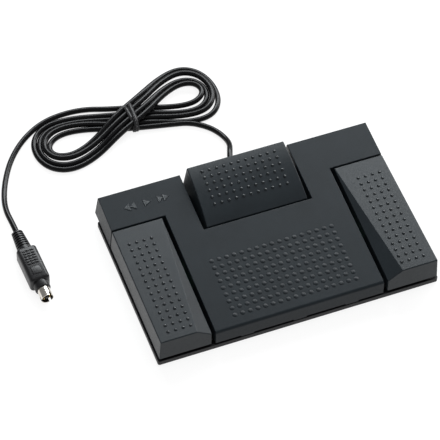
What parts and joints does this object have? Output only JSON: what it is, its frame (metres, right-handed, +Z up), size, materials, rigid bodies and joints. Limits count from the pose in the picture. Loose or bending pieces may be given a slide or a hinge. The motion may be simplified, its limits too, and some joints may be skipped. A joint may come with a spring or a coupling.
{
  "type": "transcription foot control",
  "caption": "Charcoal plastic transcription foot control with two side pedals, a raised centre pedal, tied cord and round plug.",
  "frame": {"origin": "on the floor, below the middle of the housing", "axes": "+X right as the user sits, +Y away from the user to the cord's side, +Z up"},
  "size_m": [0.2863, 0.2538, 0.038],
  "materials": {
    "housing_plastic": "fine spark-eroded texture",
    "pedal_plastic": "fine spark-eroded texture",
    "base_plastic": "satin",
    "foot_rubber": "matt",
    "steel": "zinc plated",
    "board_laminate": "solder mask",
    "switch_plastic": "satin",
    "plunger_plastic": "satin",
    "header_plastic": "satin",
    "resistor_lacquer": "lacquer",
    "cord_pvc": "soft gloss",
    "wire_pvc": "soft gloss",
    "plug_pvc": "satin",
    "nickel": "bright",
    "insulator_plastic": "satin",
    "pin_metal": "gold plated",
    "tie_plastic": "ribbed",
    "label_film": "matt"
  },
  "bodies": {
    "housing": {"top_cover": "housing_plastic", "base_tray": "base_plastic", "cord_clamp": "base_plastic", "rubber_feet": "foot_rubber", "bumper_pads": "foot_rubber", "weight_plate": "steel", "plate_screws": "steel", "cover_screws": "steel", "board_screws": "steel", "clamp_screws": "steel", "left_pivot_pin": "steel", "right_pivot_pin": "steel", "centre_pivot_pin": "steel", "left_spring": "steel", "right_spring": "steel", "centre_springs": "steel", "circuit_board": "board_laminate", "resistors": "resistor_lacquer", "cord_header": "header_plastic", "left_switch": "switch_plastic", "right_switch": "switch_plastic", "centre_switch": "switch_plastic", "signal_wires": "wire_pvc", "strain_relief": "plug_pvc", "cord_inner": "cord_pvc", "rating_label": "label_film", "cord_lead": "cord_pvc", "cord_hank": "cord_pvc", "cord_tail": "cord_pvc", "cord_tie": "tie_plastic", "plug_boot": "plug_pvc", "plug_body": "plug_pvc", "plug_shell": "nickel", "plug_insulator": "insulator_plastic", "plug_pins": "pin_metal"},
    "left_pedal_body": {"left_pedal": "pedal_plastic"},
    "right_pedal_body": {"right_pedal": "pedal_plastic"},
    "centre_pedal_body": {"centre_pedal": "pedal_plastic"},
    "left_plunger_body": {"left_plunger": "plunger_plastic"},
    "right_plunger_body": {"right_plunger": "plunger_plastic"},
    "centre_plunger_body": {"centre_plunger": "plunger_plastic"}
  },
  "joints": [
    {"name": "left_pedal_press", "type": "hinge", "parent": "housing", "child": "left_pedal_body", "pos_m": [-0.0875, 0.029, 0.0094], "axis": [1, 0, 0], "range_deg": [0, 1.25], "stiffness_Nm_per_rad": 6, "springref_deg": -3.44, "deforming": ["left_spring"]},
    {"name": "right_pedal_press", "type": "hinge", "parent": "housing", "child": "right_pedal_body", "pos_m": [0.0875, 0.029, 0.0094], "axis": [1, 0, 0], "range_deg": [0, 1.25], "stiffness_Nm_per_rad": 6, "springref_deg": -3.44, "deforming": ["right_spring"]},
    {"name": "centre_pedal_press", "type": "hinge", "parent": "housing", "child": "centre_pedal_body", "pos_m": [0, 0.0235, 0.013], "axis": [-1, 0, 0], "range_deg": [0, 3], "stiffness_Nm_per_rad": 6, "springref_deg": -3.44, "deforming": ["centre_springs"]},
    {"name": "left_plunger_slide", "type": "slide", "parent": "housing", "child": "left_plunger_body", "axis": [0, 0, -1], "range_m": [0, 0.000804]},
    {"name": "right_plunger_slide", "type": "slide", "parent": "housing", "child": "right_plunger_body", "axis": [0, 0, -1], "range_m": [0, 0.000804]},
    {"name": "centre_plunger_slide", "type": "slide", "parent": "housing", "child": "centre_plunger_body", "axis": [0, 0, -1], "range_m": [0, 0.00111]}
  ],
  "couplings": [
    {"joint": "left_plunger_slide", "follows": "left_pedal_press", "m_per_rad": 0.035},
    {"joint": "right_plunger_slide", "follows": "right_pedal_press", "m_per_rad": 0.035},
    {"joint": "centre_plunger_slide", "follows": "centre_pedal_press", "m_per_rad": 0.0205}
  ]
}
